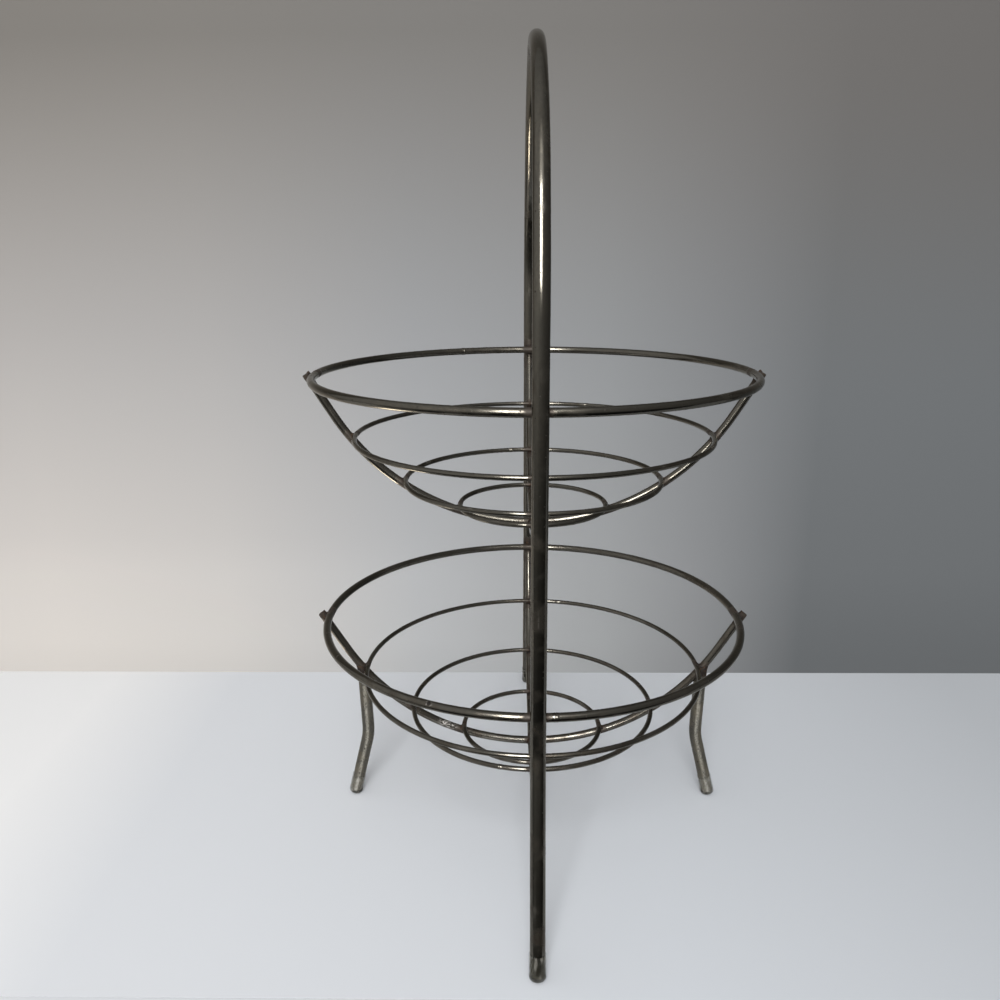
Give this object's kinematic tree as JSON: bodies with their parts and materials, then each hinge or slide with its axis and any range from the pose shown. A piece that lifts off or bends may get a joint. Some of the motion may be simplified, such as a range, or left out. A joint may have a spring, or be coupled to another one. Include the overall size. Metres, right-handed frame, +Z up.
{
  "type": "tiered basket stand",
  "caption": "Tiered wire basket stand: round open bowls held one above the other between the legs of a tall hoop that is also the carrying handle.",
  "frame": {"origin": "on the table, under the middle of the two bowls", "axes": "+Z up, the hoop and its two feet in the Y-Z plane with the front foot towards -Y, the two short side legs in the X-Z plane"},
  "size_m": [0.2768, 0.3272, 0.4692],
  "materials": {
    "aged_metal": "steel wire plated in antique pewter, half polished, with dark tarnish in specks",
    "weld_metal": "dull brown-black weld beads with traces of rust",
    "clear_plastic": "clear soft plastic, a little yellowed and scuffed"
  },
  "bodies": {
    "root": {"arch_frame": "aged_metal", "left_leg": "aged_metal", "right_leg": "aged_metal", "upper_rim": "aged_metal", "upper_large_ring": "aged_metal", "upper_middle_ring": "aged_metal", "upper_small_ring": "aged_metal", "upper_side_rib": "aged_metal", "upper_front_rib": "aged_metal", "upper_rear_rib": "aged_metal", "lower_rim": "aged_metal", "lower_large_ring": "aged_metal", "lower_middle_ring": "aged_metal", "lower_small_ring": "aged_metal", "lower_side_rib": "aged_metal", "lower_front_rib": "aged_metal", "lower_rear_rib": "aged_metal", "front_foot_cap": "clear_plastic", "rear_foot_cap": "clear_plastic", "left_foot_cap": "clear_plastic", "right_foot_cap": "clear_plastic", "upper_bowl_welds": "weld_metal", "lower_bowl_welds": "weld_metal", "arch_welds": "weld_metal", "leg_welds": "weld_metal"}
  },
  "joints": []
}
